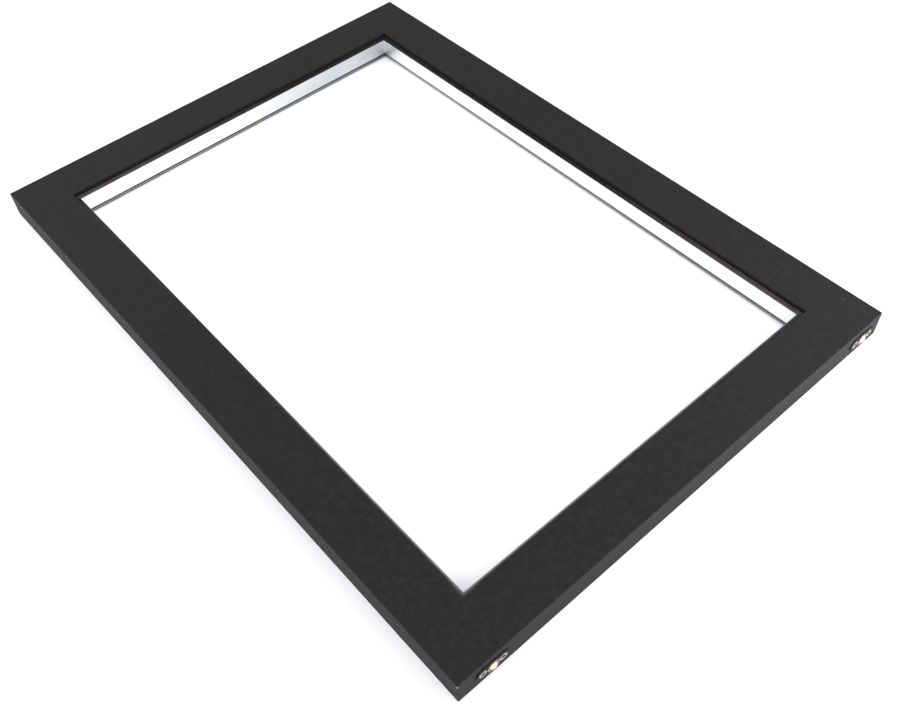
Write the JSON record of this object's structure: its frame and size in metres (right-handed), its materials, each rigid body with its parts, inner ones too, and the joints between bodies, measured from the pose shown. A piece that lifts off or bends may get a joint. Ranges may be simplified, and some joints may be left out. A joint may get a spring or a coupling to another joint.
{
  "type": "floating frame",
  "caption": "Flat black exhibition frame with a bright metal lining round a clear opening, and sprung ball catches on one short edge that snap it into a stand.",
  "frame": {"origin": "centre of the overall width and length, at the level of the back face that the frame lies on", "axes": "+X across the width, +Y along the length from the foot edge with the catches to the head edge, +Z out of the front face"},
  "size_m": [0.61, 0.844, 0.034],
  "materials": {
    "black_paint": "matte black paint on fibreboard, fine roller texture",
    "beech": "plain beech dowel",
    "lip_trim": "satin black trim strip",
    "lining_metal": "satin-polished aluminium",
    "retainer_metal": "mill-finish aluminium",
    "black_screw": "black phosphated steel",
    "zinc_screw": "bright zinc-plated steel",
    "catch_black": "satin black painted steel",
    "catch_brass": "turned brass",
    "spring_steel": "drawn spring wire"
  },
  "bodies": {
    "frame": {"front_panel": "black_paint", "rear_panel": "black_paint", "foot_rail": "black_paint", "head_rail": "black_paint", "left_stile": "black_paint", "right_stile": "black_paint", "corner_dowels": "beech", "lip_strip_foot": "lip_trim", "lip_strip_head": "lip_trim", "lip_strip_left": "lip_trim", "lip_strip_right": "lip_trim", "lining_strip_foot": "lining_metal", "lining_strip_head": "lining_metal", "lining_strip_left": "lining_metal", "lining_strip_right": "lining_metal", "retainer_strip_foot": "retainer_metal", "retainer_strip_head": "retainer_metal", "retainer_strip_left": "retainer_metal", "retainer_strip_right": "retainer_metal", "rear_panel_screws": "black_screw", "retainer_screws": "zinc_screw", "catch_screws": "zinc_screw", "catch_plate_left": "catch_black", "catch_barrel_left": "catch_brass", "catch_spring_left": "spring_steel", "catch_plate_right": "catch_black", "catch_barrel_right": "catch_brass", "catch_spring_right": "spring_steel"},
    "left_ball": {"catch_ball_left": "catch_brass"},
    "right_ball": {"catch_ball_right": "catch_brass"}
  },
  "joints": [
    {"name": "left_ball_press", "type": "slide", "parent": "frame", "child": "left_ball", "axis": [0, 1, 0], "range_m": [0, 0.0022], "stiffness_N_per_m": 4000, "springref_m": -0.001, "deforming": ["catch_spring_left"]},
    {"name": "right_ball_press", "type": "slide", "parent": "frame", "child": "right_ball", "axis": [0, 1, 0], "range_m": [0, 0.0022], "stiffness_N_per_m": 4000, "springref_m": -0.001, "deforming": ["catch_spring_right"]}
  ]
}
